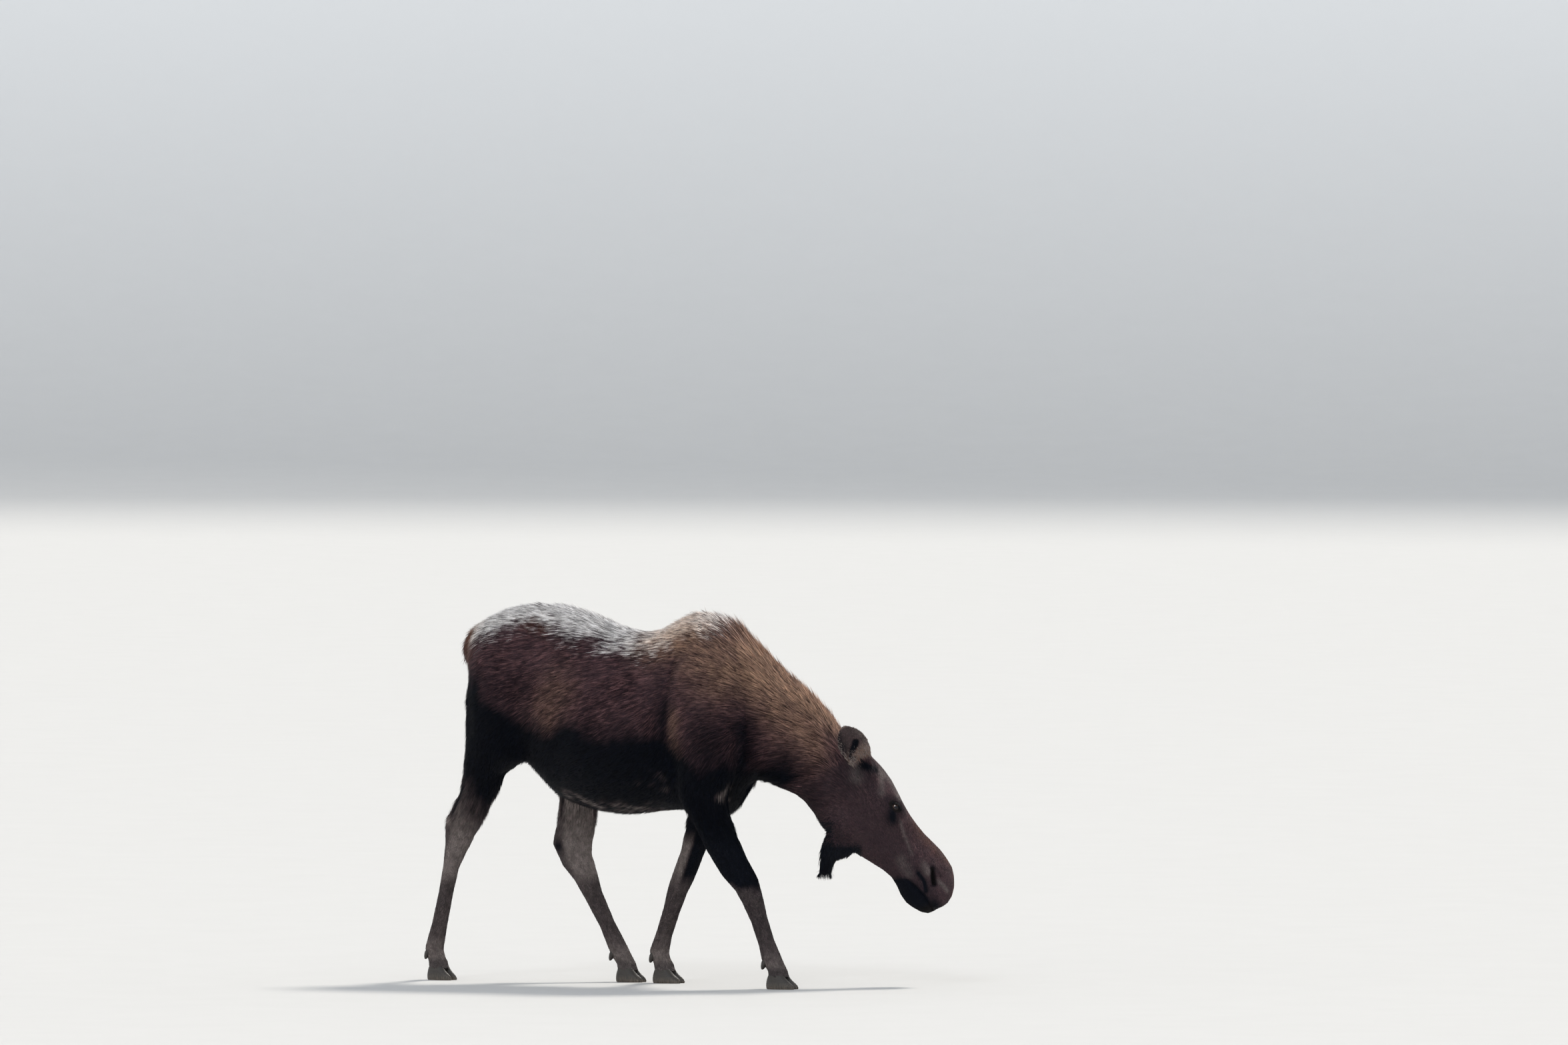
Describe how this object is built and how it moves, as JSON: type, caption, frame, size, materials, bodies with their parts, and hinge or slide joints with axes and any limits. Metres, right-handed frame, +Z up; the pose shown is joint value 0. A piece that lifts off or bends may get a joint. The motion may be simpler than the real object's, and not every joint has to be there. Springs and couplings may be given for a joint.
{
  "type": "cow moose",
  "caption": "Life-size cow moose in a wading stride, head lowered and turned to its left to drink, with a bell at the throat and a short tail.",
  "frame": {"origin": "on the floor, at the middle of the animal's box seen from above", "axes": "+X forward along the trunk, +Y to the animal's left, +Z up"},
  "size_m": [2.2274, 0.8184, 1.594],
  "materials": {
    "coat": "matte hair, silver sheen along the back",
    "face": "short matte hair",
    "ear": "soft hair, dark inside",
    "bell": "long coarse hair",
    "dark_leg": "short matte hair",
    "stocking": "short matte hair",
    "hoof": "worn horn",
    "eye": "wet gloss"
  },
  "bodies": {
    "root": {"forearm_right": "dark_leg", "fore_cannon_right": "stocking", "fore_pastern_right": "stocking", "forearm_left": "dark_leg", "fore_cannon_left": "stocking", "fore_pastern_left": "stocking", "gaskin_right": "dark_leg", "hind_cannon_right": "stocking", "hind_pastern_right": "stocking", "gaskin_left": "dark_leg", "hind_cannon_left": "stocking", "hind_pastern_left": "stocking", "fore_right_claw_left": "hoof", "fore_right_claw_right": "hoof", "fore_right_dewclaw_left": "hoof", "fore_right_dewclaw_right": "hoof", "fore_left_claw_left": "hoof", "fore_left_claw_right": "hoof", "fore_left_dewclaw_left": "hoof", "fore_left_dewclaw_right": "hoof", "hind_right_claw_left": "hoof", "hind_right_claw_right": "hoof", "hind_right_dewclaw_left": "hoof", "hind_right_dewclaw_right": "hoof", "hind_left_claw_left": "hoof", "hind_left_claw_right": "hoof", "hind_left_dewclaw_left": "hoof", "hind_left_dewclaw_right": "hoof", "tail": "coat", "bell": "bell", "neck": "coat", "trunk": "coat", "eye_right": "eye", "eye_left": "eye", "head": "face", "ear_right": "ear", "ear_left": "ear"}
  },
  "joints": []
}
